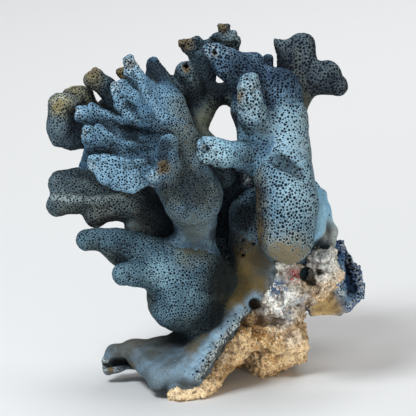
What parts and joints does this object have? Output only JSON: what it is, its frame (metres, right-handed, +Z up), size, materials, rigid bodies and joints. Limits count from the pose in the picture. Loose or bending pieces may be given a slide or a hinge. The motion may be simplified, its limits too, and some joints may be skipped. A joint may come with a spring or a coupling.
{
  "type": "blue ridge coral specimen",
  "caption": "Loose lump of blue coral: porous lobed branches with blunt fingers rising from a crust on pale reef rock, sawn flat underneath to stand on.",
  "frame": {"origin": "middle of the flat cut under the reef rock", "axes": "+Z up, square to the cut; the side with the hanging bulbs and the open lip faces -Y, and +X runs to the trunk and the broken plate on the right"},
  "size_m": [0.1265, 0.1011, 0.1369],
  "materials": {
    "reef_rubble": "granular cream to ochre rubble, dull and rough",
    "smooth_crust": "matt beige-grey crust with few pores",
    "pale_blue_skeleton": "matt pale blue-grey limestone with dark navy pores",
    "slate_blue_skeleton": "matt slate blue limestone with dark pores",
    "deep_blue_skeleton": "dark blue broken limestone, rough",
    "olive_grey_skeleton": "grey-olive limestone with tan worn tips"
  },
  "bodies": {
    "root": {"reef_rock": "reef_rubble", "skirt": "smooth_crust", "lower_lobe": "pale_blue_skeleton", "right_trunk": "pale_blue_skeleton", "fan": "pale_blue_skeleton", "side_branch": "slate_blue_skeleton", "crown_branch": "slate_blue_skeleton", "back_frond": "olive_grey_skeleton", "crest": "deep_blue_skeleton", "right_horn": "slate_blue_skeleton", "cross_arm": "pale_blue_skeleton", "rear_wall": "smooth_crust", "broken_plate": "deep_blue_skeleton", "rear_branch": "deep_blue_skeleton", "rear_right_lobe": "slate_blue_skeleton", "rear_left_lobe": "slate_blue_skeleton"}
  },
  "joints": []
}
